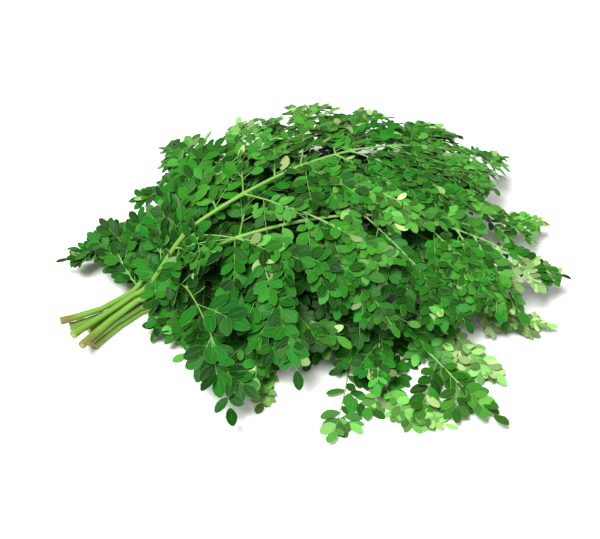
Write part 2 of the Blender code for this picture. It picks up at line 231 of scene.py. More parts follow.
fronds = (
    dict(name="frond_1", column=-1, row=0, cut=(0.062, -0.014, 0.0042), tip=(0.066, -0.160),
         arrive=-70, leave=29, first=0.080, pairs=4, pinna=0.115, spread=(73, 65), curl=(-36, 20),
         leaflet=0.019, age=0.55, younger=0.25, cutTone=0.5,
         extra=(),
         own={0: dict(reach=0.6, bend=-40, age=-0.3, sides=(0.6, 0.8)),
              2: dict(reach=1.08, size=0.8, age=-0.32),
              4: dict(reach=0.55),
              6: dict(reach=1.3, size=1.3, bare=0.25, sides=(0.42, 1)),
              8: dict(reach=1.1, size=1.15, bend=50, age=0.02, pale=0.3, sides=(0.55, 1))}),
    dict(name="frond_2", column=1, row=0, cut=(0.056, 0.024, 0.0050), tip=(-0.030, 0.148),
         arrive=76, leave=44, first=0.045, pairs=4, pinna=0.108, spread=(69, 88), curl=(10, -40),
         leaflet=0.015, age=0.70, younger=0.40, cutTone=0.2,
         extra=(),
         own={1: dict(size=1.1, age=0.25),
              3: dict(age=0.15)}),
    dict(name="frond_3", column=0, row=0, cut=(0.039, 0.000, 0.0045), tip=(0.162, -0.068),
         arrive=-24, leave=30, first=0.070, pairs=4, pinna=0.130, spread=(59, 65), curl=(10, 15),
         leaflet=0.018, age=0.62, younger=0.25, cutTone=0.3,
         extra=(),
         own={6: dict(reach=1.62, size=1.1, bend=8, age=-0.35, turned=0.35),
              8: dict(age=-0.40, turned=0.35, sides=(0.6, 1))}),
    dict(name="frond_4", column=-1, row=1, cut=(0.067, -0.014, 0.0120), tip=(0.112, -0.144),
         arrive=-52, leave=24, first=0.050, pairs=4, pinna=0.120, spread=(80, 68), curl=(-10, 20),
         leaflet=0.019, age=0.62, younger=0.20, cutTone=0.9,
         extra=((0.040, -1, 0.055),),
         own={0: dict(reach=0.75, sides=(0.6, 1)),
              4: dict(reach=0.7),
              8: dict(reach=1.15, size=1.35, age=0.22)}),
    dict(name="frond_5", column=1, row=1, cut=(0.067, 0.018, 0.0115), tip=(0.070, 0.168),
         arrive=48, leave=38, first=0.060, pairs=4, pinna=0.140, spread=(62, 62), curl=(15, 10),
         leaflet=0.015, age=0.66, younger=0.35, cutTone=0.0,
         extra=((0.020, 1, 0.075), (0.270, -1, 0.075), (0.300, -1, 0.075), (0.310, 1, 0.060),
                (0.335, -1, 0.070)),
         own={1: dict(pale=0.4),
              3: dict(pale=0.9),
              5: dict(pale=0.9),
              7: dict(pale=0.9),
              8: dict(reach=1.35, bend=-30, age=-0.2)}),
    dict(name="frond_6", column=0, row=1, cut=(0.057, 0.000, 0.0126), tip=(0.170, 0.038),
         arrive=8, leave=30, first=0.060, pairs=5, pinna=0.150, spread=(59, 65), curl=(10, 10),
         leaflet=0.018, age=0.70, younger=0.15, cutTone=0.4,
         extra=((0.030, -1, 0.055), (0.300, 1, 0.070)),
         own={0: dict(reach=1.1),
              2: dict(reach=1.3),
              8: dict(yellow=0.05),
              9: dict(reach=1.2),
              10: dict(age=-0.2, turned=0.35, yellow=0.2)}),
    dict(name="frond_7", column=1, row=2, cut=(0.074, 0.021, 0.0220), tip=(-0.094, 0.140),
         arrive=84, leave=44, first=0.052, pairs=3, pinna=0.104, spread=(62, 92), curl=(10, -45),
         leaflet=0.017, age=0.72, younger=0.30, cutTone=1.0,
         extra=((0.010, 1, 0.070, 97), (0.016, 1, 0.070), (0.034, 1, 0.045), (0.030, -1, 0.050)),
         own={1: dict(reach=0.95, age=0.15, sides=(0.7, 1)),
              3: dict(reach=0.8, age=0.1),
              5: dict(pale=0.4),
              6: dict(reach=1.25, age=-0.35)}),
    dict(name="frond_8", column=-1, row=2, cut=(0.077, -0.020, 0.0208), tip=(0.172, -0.028),
         arrive=-10, leave=4, first=0.038, pairs=5, pinna=0.155, spread=(68, 79), curl=(-22, 20),
         leaflet=0.020, age=0.84, younger=0.20, cutTone=0.7,
         extra=((0.022, 1, 0.045), (0.290, 1, 0.070), (0.325, -1, 0.085), (0.345, -1, 0.080)),
         own={0: dict(reach=0.97, size=1.50, age=0.08, sides=(0.62, 1), taper=0.42),
              6: dict(reach=1.3, bend=10),
              8: dict(reach=1.15),
              9: dict(reach=1.15),
              10: dict(age=0.1, turned=0.3)}),
    dict(name="frond_9", column=0, row=2, cut=(0.078, -0.009, 0.0275), tip=(0.145, 0.108),
         arrive=23, leave=20, first=0.060, pairs=5, pinna=0.175, spread=(54, 66), curl=(0, -5),
         leaflet=0.019, age=0.74, younger=0.12, cutTone=0.0,
         extra=((0.034, 1, 0.050), (0.046, 1, 0.060), (0.048, -1, 0.050), (0.098, 1, 0.110, 78),
                (0.165, 1, 0.115, 62), (0.195, -1, 0.060), (0.235, 1, 0.100), (0.238, -1, 0.070),
                (0.262, 1, 0.090), (0.270, -1, 0.070), (0.300, -1, 0.080), (0.306, 1, 0.085, 50),
                (0.325, -1, 0.085, 40), (0.335, 1, 0.080, 50), (0.345, -1, 0.065)),
         own={0: dict(bare=0.3),
              3: dict(pale=1.0),
              5: dict(reach=1.25, bend=8, pale=1.0),
              7: dict(reach=1.10, pale=1.0),
              9: dict(reach=1.25, bend=-25, pale=0.8),
              10: dict(bare=0.05)}),
)


# stems: the skeleton that the solids follow

stem = dict(
    waist=(-0.178, -0.066),        # where the stems lie closest together, in plan
    bearing=44,                    # their direction there
    waistRadius=0.0032, tipRadius=0.0009,
    cutFlare=0.0011,               # how much the swollen cut end adds
    flareLength=0.012,
    touchGap=0.0003,
    rowShift=0.0010,
    axisAboveLayer=0.6,            # of its radius
    climbLength=0.062,
    topRow=2, smoothing=8,         # rounds the climb of the top row, a few millimetres off the solid's
    startPull=0.24, endPull=0.36,
    curvePoints=100, shortOfTip=1e-6,
    backShares=(1.0, 0.86, 0.45),
    flat=math.cos(math.pi / 6),    # the solid's lowest side is this share of the radius below the axis
    crowding=0.94,                 # below 1 the pairs of pinnae get closer towards the tip
    slim=0.96, slimLoss=0.16, slimLength=0.08,            # share of the solid's radius, less past the waist
    knotSwell=0.30, knotLength=0.005,                     # how it swells where a pair of pinnae stands
    sides=12, sharpAngle=60,
)
pathStep = 0.006                   # between the points of a stem or a branch


def along(points, distance):
    # the place that far along the points, and the way on from it
    for a, b in zip(points, points[1:]):
        span = (b - a).length
        if distance <= span or b is points[-1]:
            return a + (b - a) * (distance / span), (b - a).normalized()
        distance -= span


def stemRadius(frond, s, reach):
    taper = stem["waistRadius"] + (stem["tipRadius"] - stem["waistRadius"]) * max(s, 0) / reach
    return taper + stem["cutFlare"] * math.exp(-(s + frond["cut"][0]) / stem["flareLength"])


def stemPath(layer, frond):
    # [(distance past the waist, point on the axis, bearing)] from the cut end to the tip
    back, cutSide, cutHeight = frond["cut"]
    bundleBearing = math.radians(stem["bearing"])
    ahead = bearingVector(bundleBearing)
    left = Vector((-ahead.y, ahead.x, 0))
    gap, radius = stem["touchGap"], stem["waistRadius"]
    height = radius * stem["flat"] + (2 * radius * stem["flat"] + gap) * frond["row"]
    waistSide = (2 * radius + gap) * frond["column"] + stem["rowShift"] * frond["row"]
    waist = Vector((*stem["waist"], 0)) + left * waistSide
    path = []
    for share in stem["backShares"]:
        point = waist - ahead * (back * share) + left * ((cutSide - waistSide) * share ** 2)
        point.z = height + (cutHeight - height) * share
        path.append((-back * share, point, bundleBearing))
    tip = Vector((*frond["tip"], 0))
    way = (tip - waist).length
    arrival = bearingVector(math.radians(frond["arrive"]))
    leaving = bearingVector(math.radians(frond["leave"]))
    curve = interpolate_bezier(waist, waist + leaving * (stem["startPull"] * way),
                               tip - arrival * (stem["endPull"] * way), tip, stem["curvePoints"])
    reach = sum((b - a).length for a, b in zip(curve, curve[1:]))
    count = round(reach / pathStep)
    for i in range(count + 1):
        s = reach * i / count
        point, forward = along(curve, min(s, reach - stem["shortOfTip"]))
        goal = layerHeight(layer, point.x, point.y) + stem["axisAboveLayer"] * stemRadius(frond, s, reach)
        point.z = height + (goal - height) * ease(s / stem["climbLength"])
        path.append((s, point, math.atan2(forward.y, forward.x)))
    for _ in range(stem["smoothing"] * (frond["row"] == stem["topRow"])):
        heights = [point.z for _, point, _ in path]
        for i in range(len(stem["backShares"]), len(path) - 1):
            path[i][1].z = (heights[i - 1] + heights[i] + heights[i + 1]) / 3
    for s, point, _ in path:
        point.z = max(point.z, stemRadius(frond, s, reach) * stem["flat"])
    return path


def nearestOn(path, s):
    return min(range(len(path)), key=lambda n: abs(path[n][0] - s))


def pairPlaces(frond, path):
    room = path[-1][0] - frond["first"]
    shares = [(i / frond["pairs"]) ** stem["crowding"] for i in range(frond["pairs"])]
    return [nearestOn(path, frond["first"] + room * share) for share in shares]


# pinnae: where the solids have them

pinna = dict(
    settle=0.045,                  # it has sunk from its stem to its layer this far out
    shorterUp=0.56,                # how much shorter the highest pair is
    tipShare=0.52, tipSweep=0.15,  # length of the one at the tip, and most that it turns, in radians
    highSpread=46,                 # from the stem to a pinna at the top
    lengthDraw=(0.9, 1.08), curlDraw=10,
    spreadDraw=0.10,               # in radians
    roll=9, rollReach=0.034, rollShare=0.55,              # it lies like a shingle over the next one
    beyond=0.012,                  # its rib runs this much further than the solid's
    footRadius=0.00090, endRadius=0.00040, sides=6,
    footSwell=0.9, footSwellLength=0.004,
    barkPlace=(0.35, 0.65),        # where its foot stands on the bark's way from green to pale, and the rest
    bare=0.14, bareLeast=0.006,    # its foot has no leaflets, as a share of its length and at least
    taper=0.20,                    # how much smaller its leaflets get along it
    smallerUp=0.25,                # and from the lowest pair to the one at the tip
    sizeDraw=(0.9, 1.12), nodeDraw=(0.93, 1.07),
    endRoom=0.3, endOver=0.6,      # in leaflet lengths: from the last node to the end, and out past the end
    endSize=1.1, shortOfEnd=1e-5,
    youngerPower=1.3, outwardAge=0.10, ageDraw=0.12, nodeAgeDraw=0.08,
)


def drape(layer, start, bearing, sweep, length):
    # points along a branch that turns by sweep and sinks onto its layer
    count = max(2, round(length / pathStep))
    stride = length / count
    over = start.z - layerHeight(layer, start.x, start.y)
    points = [start.copy()]
    for i in range(count):
        way = bearingVector(bearing + sweep * (i + 0.5) / count)
        here = points[-1]
        ahead = here + way * stride
        rise = (layerHeight(layer, ahead.x, ahead.y) - layerHeight(layer, here.x, here.y)) / stride
        plan = here + way * (stride / math.hypot(1, rise))
        left = over * (1 - ease((i + 1) * stride / pinna["settle"]))
        points.append(Vector((plan.x, plan.y, layerHeight(layer, plan.x, plan.y) + left)))
    return points


def pinnaPlan(layer, frond, path):
    # [(start, bearing, sweep, length, share of the way up the frond, rolling side)]
    draw = random.Random(frond["name"] + " pinnae")
    rolled = 1 if layer else 0
    plan = []
    for i, place in enumerate(pairPlaces(frond, path)):
        up = i / frond["pairs"]
        _, start, bearing = path[place]
        for side in (-1, 1):
            lowSpread = math.radians(frond["spread"][side > 0])
            spread = lowSpread + (math.radians(pinna["highSpread"]) - lowSpread) * up
            length = frond["pinna"] * (1 - pinna["shorterUp"] * up) * draw.uniform(*pinna["lengthDraw"])
            away = bearing + side * (spread + draw.uniform(-pinna["spreadDraw"], pinna["spreadDraw"]))
            curl = frond["curl"][side > 0] + draw.uniform(-pinna["curlDraw"], pinna["curlDraw"])
            plan.append((start, away, -side * math.radians(curl) * (1 - up), length, up, -side * rolled))
    _, end, bearing = path[-1]
    sweep = draw.uniform(-pinna["tipSweep"], pinna["tipSweep"])
    plan.append((end, bearing, sweep, frond["pinna"] * pinna["tipShare"], 1.0, 0))
    return plan


# stems and ribs, each a closed tube

barkKinds = dict(stem=0.0, rib=0.5, stalk=1.0, pith=2.0)  # the pith of a cut is what the material tells apart


def newTubes():
    return dict(points=[], faces=[], look=[], place=[])


def addTube(tubes, points, radii, sides, alongs, kind):
    # alongs: 0 at the frond's cut end to 1 at its tip. Only a stem's ends show their pith.
    points = [Vector((p.x, p.y, max(p.z, r))) for p, r in zip(points, radii)]
    last = len(points) - 1
    ways = [(points[min(i + 1, last)] - points[max(i - 1, 0)]).normalized() for i in range(last + 1)]
    side = ways[0].cross(Vector((0, 0, 1)))
    side = side.normalized() if side.length > 1e-4 else Vector((1, 0, 0))
    first = len(tubes["points"])
    distance = 0.0
    for i, (point, way, radius, share) in enumerate(zip(points, ways, radii, alongs)):
        side = (side - way * side.dot(way)).normalized()
        over = side.cross(way)
        distance += (point - points[i - 1]).length if i else 0
        for n in range(sides):
            a = math.tau * n / sides
            x, y = radius * math.cos(a), radius * math.sin(a)
            tubes["points"].append(point + side * x + over * y)
            tubes["place"].append((x, y, distance))
            tubes["look"].append((share, barkKinds[kind]))
    for i in range(last):
        a, b = first + i * sides, first + (i + 1) * sides
        for n in range(sides):
            m = (n + 1) % sides
            tubes["faces"].append((a + n, b + n, b + m, a + m))
    for ring in (0, last):
        loop = range(first + ring * sides, first + (ring + 1) * sides)
        if kind != "stem":
            tubes["faces"].append(tuple(reversed(loop)) if ring else tuple(loop))
            continue
        hub = len(tubes["points"])
        tubes["points"].append(points[ring])
        tubes["place"].append((0, 0, 0))
        tubes["look"].append((alongs[ring], barkKinds["pith"]))
        for a, b in zip(loop, (*loop[1:], loop[0])):
            tubes["faces"].append((b, a, hub) if ring else (a, b, hub))


def addStem(tubes, frond, path):
    reach = path[-1][0]
    back = frond["cut"][0]
    swollen = [path[n][0] for n in pairPlaces(frond, path)]
    points, radii, shares = [], [], []
    for s, point, _ in path:
        knots = sum(math.exp(-((s - k) / stem["knotLength"]) ** 2) for k in swollen)
        slim = stem["slim"] - stem["slimLoss"] * ease(s / stem["slimLength"])
        points.append(point)
        radii.append(stemRadius(frond, s, reach) * slim * (1 + stem["knotSwell"] * knots))
        shares.append(max(0.0, (s + back) / (reach + back)))
    addTube(tubes, points, radii, stem["sides"], shares, "stem")


def addRib(ribs, points, total, up):
    last = len(points) - 1
    radii = []
    for i in range(last + 1):
        d = total * i / last
        base = pinna["footRadius"] + (pinna["endRadius"] - pinna["footRadius"]) * d / total
        radii.append(base * (1 + pinna["footSwell"] * math.exp(-(d / pinna["footSwellLength"]) ** 2)))
    low, rest = pinna["barkPlace"]
    alongs = [low + rest * max(up, i / last) for i in range(last + 1)]
    addTube(ribs, points, radii, pinna["sides"], alongs, "rib")


def buildObject(name, points, faces, materials, faceMaterials, attributes, sharpAngle):
    mesh = bpy.data.meshes.new(name)
    mesh.from_pydata(points, [], faces)
    for material in materials:
        mesh.materials.append(material)
    mesh.polygons.foreach_set("material_index", faceMaterials)
    for label, values in attributes.items():
        mesh.attributes.new(label, "FLOAT_VECTOR", "POINT").data.foreach_set("vector", np.ravel(values))
    mesh.polygons.foreach_set("use_smooth", [True] * len(mesh.polygons))
    mesh.set_sharp_from_angle(angle=math.radians(sharpAngle))
    mesh.update()
    piece = bpy.data.objects.new(name, mesh)
    bpy.context.scene.collection.objects.link(piece)
    return piece


# leaflets

leaflet = dict(
    widthShare=0.57, widthDraw=(0.9, 1.1),                # full width over length
    sizeDraw=(0.9, 1.1),
    stalk=0.04, stalkUnder=0.05,   # petiolule, as a share of the leaflet's length, and on under the blade
    stalkRadius=0.00024, stalkEnd=0.8, stalkSides=3,
    spread=50, spreadDraw=9,       # to its rib
    tilt=20, roll=22,              # most that it turns out of its rib's plane, either way
    lift=4,                        # leaflets rise a little from their rib, so they hide its sides
    hang=0.45,                     # how much it points down the heap's slope
    spacing=0.44,                  # from pair to pair, as a share of a leaflet's length
    fold=(0.02, 0.22),             # how far its edges rise over the midrib, of its half-width
    arch=(0.02, 0.16),             # how far its tip droops, of its length
    floorClear=0.0005, floorSoftness=0.0007,
    ceiling=0.0015,                # how far one may stand over the solids' highest point
    youngest=0.08, yellow=-1,      # an age below the youngest only marks the yellow ones
    ageDraw=0.05,
    strays=0.05, strayAge=0.35, strayTurned=0.4,          # share that is paler, by how much, and turned over
    toneShares=(0.45, 0.55),       # how much of its tone is its pinna's and how much its own
    barkPlace=0.9,                 # its stalk's place on the bark's way from green to pale
)
pinnule = dict(
    most=0.066,                    # length of the longest, with its end leaflet
    share=0.84,                    # of the room left to the pinna's tip
    least=1.6,                     # in leaflet lengths: shorter ones are a single leaflet
    spacing=1.45,                  # between pairs, in leaflet lengths
    lengthDraw=(0.85, 1.05),
    spread=58, spreadOut=46, spreadDraw=9,
    hang=0.9, hangBack=0.25,       # how much it points down the heap's slope, at the front and at the back
    dip=0.28,                      # and how far it sinks as it does
    droop=(0.05, 0.45), bend=0.2,  # in radians, about: down towards its end, and to either side
    roll=18,
    steps=3, sides=4,
    footRadius=0.00042, endRadius=0.00026,
    barkPlace=0.8,
    endRoom=0.9,                   # taken by its end leaflet, in leaflet lengths
    lastPair=0.10,                 # from its last pair to its end, in leaflet lengths
    bare=0.10,                     # its foot has no leaflets, as a share of its length
    sizeDraw=(0.85, 1.08), sizeLoss=0.25, sizePeak=0.45,  # its leaflets get smaller from there to both ends
    pairDraw=(0.92, 1.1),
    cover=0.72, coverDraw=(0.85, 1.15),                   # size of leaflets on the pinna's own rib
    coverPlaces=(0.3, 0.65),                              # of the way to its next pinnules
    hiddenLayers=4, hiddenZone=0.40, hiddenShare=0.62,    # deep inside the heap this share is left out
    innerLayers=7, innerZone=0.70, innerPaintedShade=0.5,          # and leaflets there get up to this much older and darker: painted shade between the layers
)
gland = dict(size=0.0007, length=2.2, foot=0.5, end=0.35, sides=4)
highest = cadBox[1][2] + leaflet["ceiling"]


def fallAt(layer, point):
    # the way that the layer slopes down, as long as it is steep
    normal = layerNormal(layer, point.x, point.y)
    return Vector((normal.x, normal.y, 0)) / normal.z


# painted shade: how deep a leaflet lies in the heap's low inner layers, 0 at the edge of that zone to 1 at the
# crown
def paintedShadeShare(layer, point):
    return (layer < pinnule["innerLayers"]) * max(0.0, 1 - fromCrown(point.x, point.y) / pinnule["innerZone"])


def isHidden(layer, point, draw):
    inside = layer < pinnule["hiddenLayers"] and fromCrown(point.x, point.y) < pinnule["hiddenZone"]
    return inside and draw.random() < pinnule["hiddenShare"]


def rollLimit(layer, point):
    # what a pinna may roll there and still leave its share of the layer
    rise = pinna["rollShare"] * layerStep(point.x, point.y) / pinna["rollReach"]
    return min(math.radians(pinna["roll"]), math.asin(min(rise, 1)))


def turnedBy(vector, towards, angle):
    return (vector * math.cos(angle) + towards * math.sin(angle)).normalized()


parting = dict(                    # over this stretch of the second stem the top frond's leaflets lie apart
    top="frond_9", stem="frond_8", start=0.090, end=0.200,
    halfWidth=0.010, lean=1.1,     # lean: how far in front of the stem a leaflet above it counts, per height
)
secondLayer, secondFrond = next((n, f) for n, f in enumerate(fronds) if f["name"] == parting["stem"])
secondStem = stemPath(secondLayer, secondFrond)


def isParted(frond, place, way, length):
    if frond["name"] != parting["top"]:
        return False
    middle = place + way * (length / 2)
    for s, point, _ in secondStem:
        if parting["start"] < s < parting["end"]:
            behind = middle.y + (middle.z - point.z) * parting["lean"] - point.y
            if math.hypot(middle.x - point.x, behind) < parting["halfWidth"]:
                return True
    return False


def addLeaflet(leaves, ribs, place, way, normal, length, age, tone, draw):
    # one leaflet from a rib at place; way and normal give its plane before its own tilt
    if isParted(leaves["frond"], place, way, length):
        return
    tilt = math.radians(leaflet["lift"] + draw.uniform(-leaflet["tilt"], leaflet["tilt"]))
    axis = turnedBy(way, normal, tilt)
    up = (normal - axis * normal.dot(axis)).normalized()
    across = up.cross(axis)
    roll = math.radians(draw.uniform(-leaflet["roll"], leaflet["roll"]))
    across, up = turnedBy(across, up, roll), turnedBy(up, -across, roll)
    stalk = leaflet["stalk"] * length
    foot = place + axis * stalk
    foot.z = min(max(foot.z, leaflet["floorClear"]), highest)
    radius = leaflet["stalkRadius"]
    under = foot + axis * (leaflet["stalkUnder"] * length)
    addTube(ribs, [place, under], [radius, radius * leaflet["stalkEnd"]], leaflet["stalkSides"],
            [leaflet["barkPlace"]] * 2, "stalk")
    if draw.random() < leaflet["strays"]:
        age = max(leaflet["youngest"], age - leaflet["strayAge"]) if age >= 0 else age
        if draw.random() < leaflet["strayTurned"]:
            across, up = -across, -up
    pinnaTone, ownTone = leaflet["toneShares"]
    leaves["rows"].append((*foot, *axis, *across, *up, length - stalk,
                           length * leaflet["widthShare"] / 2 * draw.uniform(*leaflet["widthDraw"]),
                           draw.uniform(*leaflet["fold"]), draw.uniform(*leaflet["arch"]),
                           draw.uniform(0, math.tau),
                           age + draw.uniform(-leaflet["ageDraw"], leaflet["ageDraw"]),
                           pinnaTone * tone + ownTone * draw.random()))


def addGland(ribs, place, way):
    # the wart between two pinnules
    size = gland["size"]
    addTube(ribs, [place, place + way * size * gland["length"]], [size * gland["foot"], size * gland["end"]],
            gland["sides"], [leaflet["barkPlace"]] * 2, "stalk")


def addPinnule(leaves, ribs, layer, place, way, normal, length, size, age, tone, draw):
    # a short rib with leaflets in pairs and one at its end
    room = length - size * pinnule["endRoom"]
    fall = fallAt(layer, place)
    hang = pinnule["hangBack"] if fall.y > 0 else pinnule["hang"]
    way = (way + fall * hang - Vector((0, 0, pinnule["dip"] * hang * fall.length))).normalized()
    normal = (normal - way * normal.dot(way)).normalized()
    side = normal.cross(way)
    normal = turnedBy(normal, side, math.radians(draw.uniform(-pinnule["roll"], pinnule["roll"])))
    side = normal.cross(way)
    droop = draw.uniform(*pinnule["droop"])
    bend = draw.uniform(-pinnule["bend"], pinnule["bend"])
    steps = pinnule["steps"]
    points, ways, here = [place.copy()], [], place.copy()
    for i in range(steps):
        part = (i + 0.5) / steps
        forward = (way + side * (bend * part) - Vector((0, 0, droop * part * part))).normalized()
        here = here + forward * (room / steps)
        here.z = min(max(here.z, leaflet["floorClear"]), highest)
        points.append(here.copy())
        ways.append(forward)
    radii = [pinnule["footRadius"] + (pinnule["endRadius"] - pinnule["footRadius"]) * i / steps
             for i in range(steps + 1)]
    addTube(ribs, points, radii, pinnule["sides"], [pinnule["barkPlace"]] * (steps + 1), "rib")
    distance = room - size * pinnule["lastPair"]
    while distance > pinnule["bare"] * length:
        at, forward = along(points, distance)
        across = normal.cross(forward).normalized()
        flat = forward.cross(across)
        for hand in (-1, 1):
            angle = leaflet["spread"] + draw.uniform(-leaflet["spreadDraw"], leaflet["spreadDraw"])
            own = size * draw.uniform(*pinnule["sizeDraw"])
            own *= 1.0 - pinnule["sizeLoss"] * (distance / room - pinnule["sizePeak"]) ** 2
            leafWay = turnedBy(forward, across * hand, math.radians(angle))
            leafWay = (leafWay + fall * leaflet["hang"]).normalized()
            addLeaflet(leaves, ribs, at, leafWay, flat, own, age, tone, draw)
        distance -= leaflet["spacing"] * size * draw.uniform(*pinnule["pairDraw"])
    at, forward = points[-1], ways[-1]
    across = normal.cross(forward).normalized()
    addLeaflet(leaves, ribs, at, forward, forward.cross(across), size, age, tone, draw)


def nodePlaces(total, size, taper, bare, draw):
    # how far along a pinna its pinnules and leaflets stand
    places = []
    distance, local = max(bare * total, pinna["bareLeast"]), size
    while distance < total - local * pinna["endRoom"]:
        places.append(distance)
        local = size * (1 - taper * distance / total)
        simple = pinnule["share"] * (total - distance) < pinnule["least"] * local
        spacing = leaflet["spacing"] if simple else pinnule["spacing"]
        distance += local * spacing * draw.uniform(*pinna["nodeDraw"])
    return places


def addPinna(leaves, ribs, layer, frond, own, plan, draw):
    start, bearing, sweep, length, up, rollSide = plan
    reach = (length + pinna["beyond"]) * own.get("reach", 1)
    points = drape(layer, start, bearing, sweep * reach / length + math.radians(own.get("bend", 0)), reach)
    total = sum((b - a).length for a, b in zip(points, points[1:]))
    size = frond["leaflet"] * (1 - pinna["smallerUp"] * up) * own.get("size", 1)
    size *= draw.uniform(*pinna["sizeDraw"])
    taper, pale = own.get("taper", pinna["taper"]), own.get("pale", 0)
    tone = draw.random()
    nodes = nodePlaces(total, size, taper, own.get("bare", pinna["bare"]), draw)
    addRib(ribs, points, total, up)
    base = frond["age"] + own.get("age", 0) - frond["younger"] * up ** pinna["youngerPower"]
    base += draw.uniform(-pinna["ageDraw"], pinna["ageDraw"])
    for distance in nodes:
        at, forward = along(points, distance)
        normal = layerNormal(layer, at.x, at.y)
        side = normal.cross(forward).normalized()
        normal = forward.cross(side)
        roll = rollSide * rollLimit(layer, at)
        side, normal = turnedBy(side, normal, roll), turnedBy(normal, -side, roll)
        outward = distance / total
        localSize = size * (1 - taper * outward)
        age = base - pinna["outwardAge"] * outward ** 2 - pale * outward ** 3
        age += draw.uniform(-pinna["nodeAgeDraw"], pinna["nodeAgeDraw"])
        # painted shade: deep inside the heap a leaflet's age is raised, so it is drawn darker, standing in for
        # the shade between the layers
        age = max(leaflet["youngest"], age + pinnule["innerPaintedShade"] * paintedShadeShare(layer, at))
        spread = pinnule["spread"] + (pinnule["spreadOut"] - pinnule["spread"]) * outward
        room = total + pinna["endOver"] * size - distance
        for hand in (-1, 1):
            angle = math.radians(spread + draw.uniform(-pinnule["spreadDraw"], pinnule["spreadDraw"]))
            way = turnedBy(forward, side * hand, angle)
            long = min(pinnule["most"], pinnule["share"] * room) * draw.uniform(*pinnule["lengthDraw"])
            long *= own.get("sides", (1, 1))[hand > 0]
            if isHidden(layer, at + way * long, draw):
                continue
            facing = normal * (-1 if draw.random() < own.get("turned", 0) else 1)
            branches = long > pinnule["least"] * localSize
            if branches:
                addPinnule(leaves, ribs, layer, at, way, facing, long, localSize, age, tone, draw)
            else:
                leafAge = leaflet["yellow"] if draw.random() < own.get("yellow", 0) else age
                leafSize = localSize * draw.uniform(*leaflet["sizeDraw"])
                addLeaflet(leaves, ribs, at, way, facing, leafSize, leafAge, tone, draw)
            for share in pinnule["coverPlaces"]:
                further = min(distance + share * pinnule["spacing"] * size, total - pinna["shortOfEnd"])
                ahead, onward = along(points, further)
                if branches and ahead.z > 0:
                    lean = math.radians(leaflet["spread"] + draw.uniform(-1, 1) * leaflet["spreadDraw"])
                    coverSize = pinnule["cover"] * localSize * draw.uniform(*pinnule["coverDraw"])
                    coverWay = turnedBy(onward, side * hand, lean)
                    addLeaflet(leaves, ribs, ahead, coverWay, facing, coverSize, age, tone, draw)
                    spread = lean          # about one degree, so the left pinnule runs on along the rib
        addGland(ribs, at, normal)
    at, forward = points[-1], (points[-1] - points[-2]).normalized()
    normal = layerNormal(layer, at.x, at.y)
    normal = (normal - forward * normal.dot(forward)).normalized()
    endAge = max(leaflet["youngest"], base - pale)
    addLeaflet(leaves, ribs, at, forward, normal, size * (pinna["endSize"] - taper), endAge, tone, draw)


# the blades of the leaflets

blade = dict(
    acrossLines=(-1.0, 0.0, 1.0),  # its grid: across it, and along it from foot to tip
    alongLines=(0.0, 0.08, 0.28, 0.53, 0.79, 0.965),
    thickness=0.00028,
    footShift=0.006, lengthShare=0.985, widest=1.10, roundness=0.60,      # of its outline
    bulge=0.04, bulgePower=4,      # how its tip stands out in the middle
    foldPower=1.4,
    ripple=0.05, rippleAlong=7, rippleAcross=2,           # waviness of its edge, of its half-width
    sharpAngle=50,
)


def bladeProfile(v):
    # half-width along the blade: rounded foot, widest a little beyond the middle, round tip
    turn = math.pi * (v * blade["lengthShare"] + blade["footShift"]) ** blade["widest"]
    return np.sin(turn) ** blade["roundness"]


def bladeFaces(nu, nv):
    # faces of one closed blade and the material of each: 0 above, 1 below and round the rim
    grid = nu * nv
    top = [(i * nu + j, (i + 1) * nu + j, (i + 1) * nu + j + 1, i * nu + j + 1)
           for i in range(nv - 1) for j in range(nu - 1)]
    below = [tuple(grid + n for n in reversed(face)) for face in top]
    loop = list(range(nu)) + [i * nu + nu - 1 for i in range(1, nv)]
    loop += [(nv - 1) * nu + j for j in range(nu - 2, -1, -1)] + [i * nu for i in range(nv - 2, 0, -1)]
    rim = [(a, b, b + grid, a + grid) for a, b in zip(loop, loop[1:] + loop[:1])]
    return np.array(top + below + rim), np.array([0] * len(top) + [1] * (len(below) + len(rim)))


def leafletPiece(name, leaves, materials):
    rows = np.array(leaves)
    foot, axis, across, up = (rows[:, i:i + 3][:, None, :] for i in (0, 3, 6, 9))
    length, halfWidth, fold, arch, phase, age, tone = (rows[:, i][:, None] for i in range(12, 19))
    lines = np.meshgrid(blade["alongLines"], blade["acrossLines"], indexing="ij")
    v, u = (line.ravel()[None, :] for line in lines)
    profile = bladeProfile(v)
    x = length * (v + blade["bulge"] * (1 - u * u) * v ** blade["bulgePower"])
    y = halfWidth * u * profile
    z = halfWidth * fold * np.abs(u) ** blade["foldPower"] * profile - length * arch * v * v
    waves = np.sin(phase + blade["rippleAlong"] * v + blade["rippleAcross"] * u)
    z = z + halfWidth * blade["ripple"] * waves * u * u
    middle = foot + axis * x[..., None] + across * y[..., None] + up * z[..., None]
    clear, soft = leaflet["floorClear"], leaflet["floorSoftness"]
    middle[..., 2] = clear + soft * np.logaddexp(0, (middle[..., 2] - clear) / soft)
    middle[..., 2] = highest - soft * np.logaddexp(0, (highest - middle[..., 2]) / soft)
    half = up * (blade["thickness"] / 2)
    shells = np.concatenate((middle + half, middle - half), axis=1)

    faces, kinds = bladeFaces(len(blade["acrossLines"]), len(blade["alongLines"]))
    count, grid = len(rows), u.size
    allFaces = (faces[None] + (np.arange(count) * 2 * grid)[:, None, None]).reshape(-1, 4)
    places = np.broadcast_to(np.stack((u, v, np.zeros_like(u)), -1), (count, grid, 3))
    shownAge = np.where(age < 0, 0, np.clip(age, leaflet["youngest"], 1))
    looks = np.stack((shownAge, tone, phase / math.tau), -1)
    return buildObject(name, shells.reshape(-1, 3).tolist(), allFaces.tolist(), materials,
                       np.tile(kinds, count).tolist(),
                       {"leafPlace": np.concatenate((places, places), axis=1),
                        "leafLook": looks * np.ones((1, 2 * grid, 1))}, blade["sharpAngle"])


# materials

